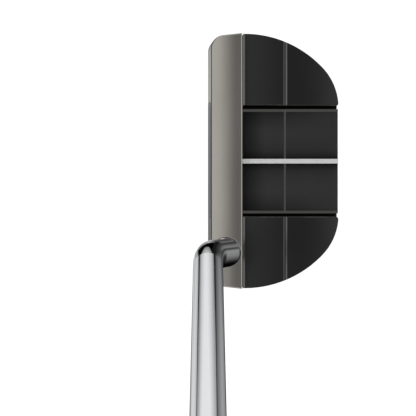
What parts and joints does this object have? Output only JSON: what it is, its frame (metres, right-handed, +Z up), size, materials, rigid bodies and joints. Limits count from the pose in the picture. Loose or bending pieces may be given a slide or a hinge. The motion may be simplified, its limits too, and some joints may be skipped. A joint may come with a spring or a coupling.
{
  "type": "mallet putter",
  "caption": "Right-handed mallet golf putter: pewter front block with face insert, black wings and recessed centre channel with a white sight line, double-bend steel shaft, rubber grip.",
  "frame": {"origin": "on the ground plane at the flat of the sole, under the sight line, midway between leading edge and tail", "axes": "+Z up at address; the face looks toward -Y (target side), the tail is at +Y; toe at -X, heel and player at +X; the shaft leans 20 degrees toward +X"},
  "size_m": [0.3609, 0.065, 0.8321],
  "materials": {
    "pewter_steel": "satin pewter coating over fine machining",
    "insert_polymer": "satin elastomer",
    "insert_plate": "mill finish",
    "adhesive": "dull",
    "black_aluminium": "fine bead-blasted black anodised",
    "sole_aluminium": "satin dark anodised",
    "sight_white": "semi-gloss white",
    "elastomer": "matt black",
    "screw_steel": "black oxide",
    "pin_steel": "ground",
    "weight_steel": "turned",
    "shaft_chrome": "bright chrome plate",
    "ferrule_black": "gloss black",
    "plug_plastic": "dull",
    "tape_paper": "matt",
    "grip_rubber": "matt textured"
  },
  "bodies": {
    "root": {"face_block": "pewter_steel", "face_insert": "insert_polymer", "insert_core": "insert_plate", "insert_tape": "adhesive", "shaft_epoxy": "adhesive", "centre_deck": "black_aluminium", "toe_wing": "black_aluminium", "heel_wing": "black_aluminium", "sole_plate": "sole_aluminium", "sight_line": "sight_white", "damping_gasket": "elastomer", "weight_washers": "elastomer", "sole_screws": "screw_steel", "joining_screws": "screw_steel", "dowel_pins": "pin_steel", "toe_weight": "weight_steel", "heel_weight": "weight_steel", "shaft": "shaft_chrome", "ferrule_ring": "ferrule_black", "tip_plug": "plug_plastic", "grip_tape": "tape_paper", "grip": "grip_rubber"}
  },
  "joints": []
}
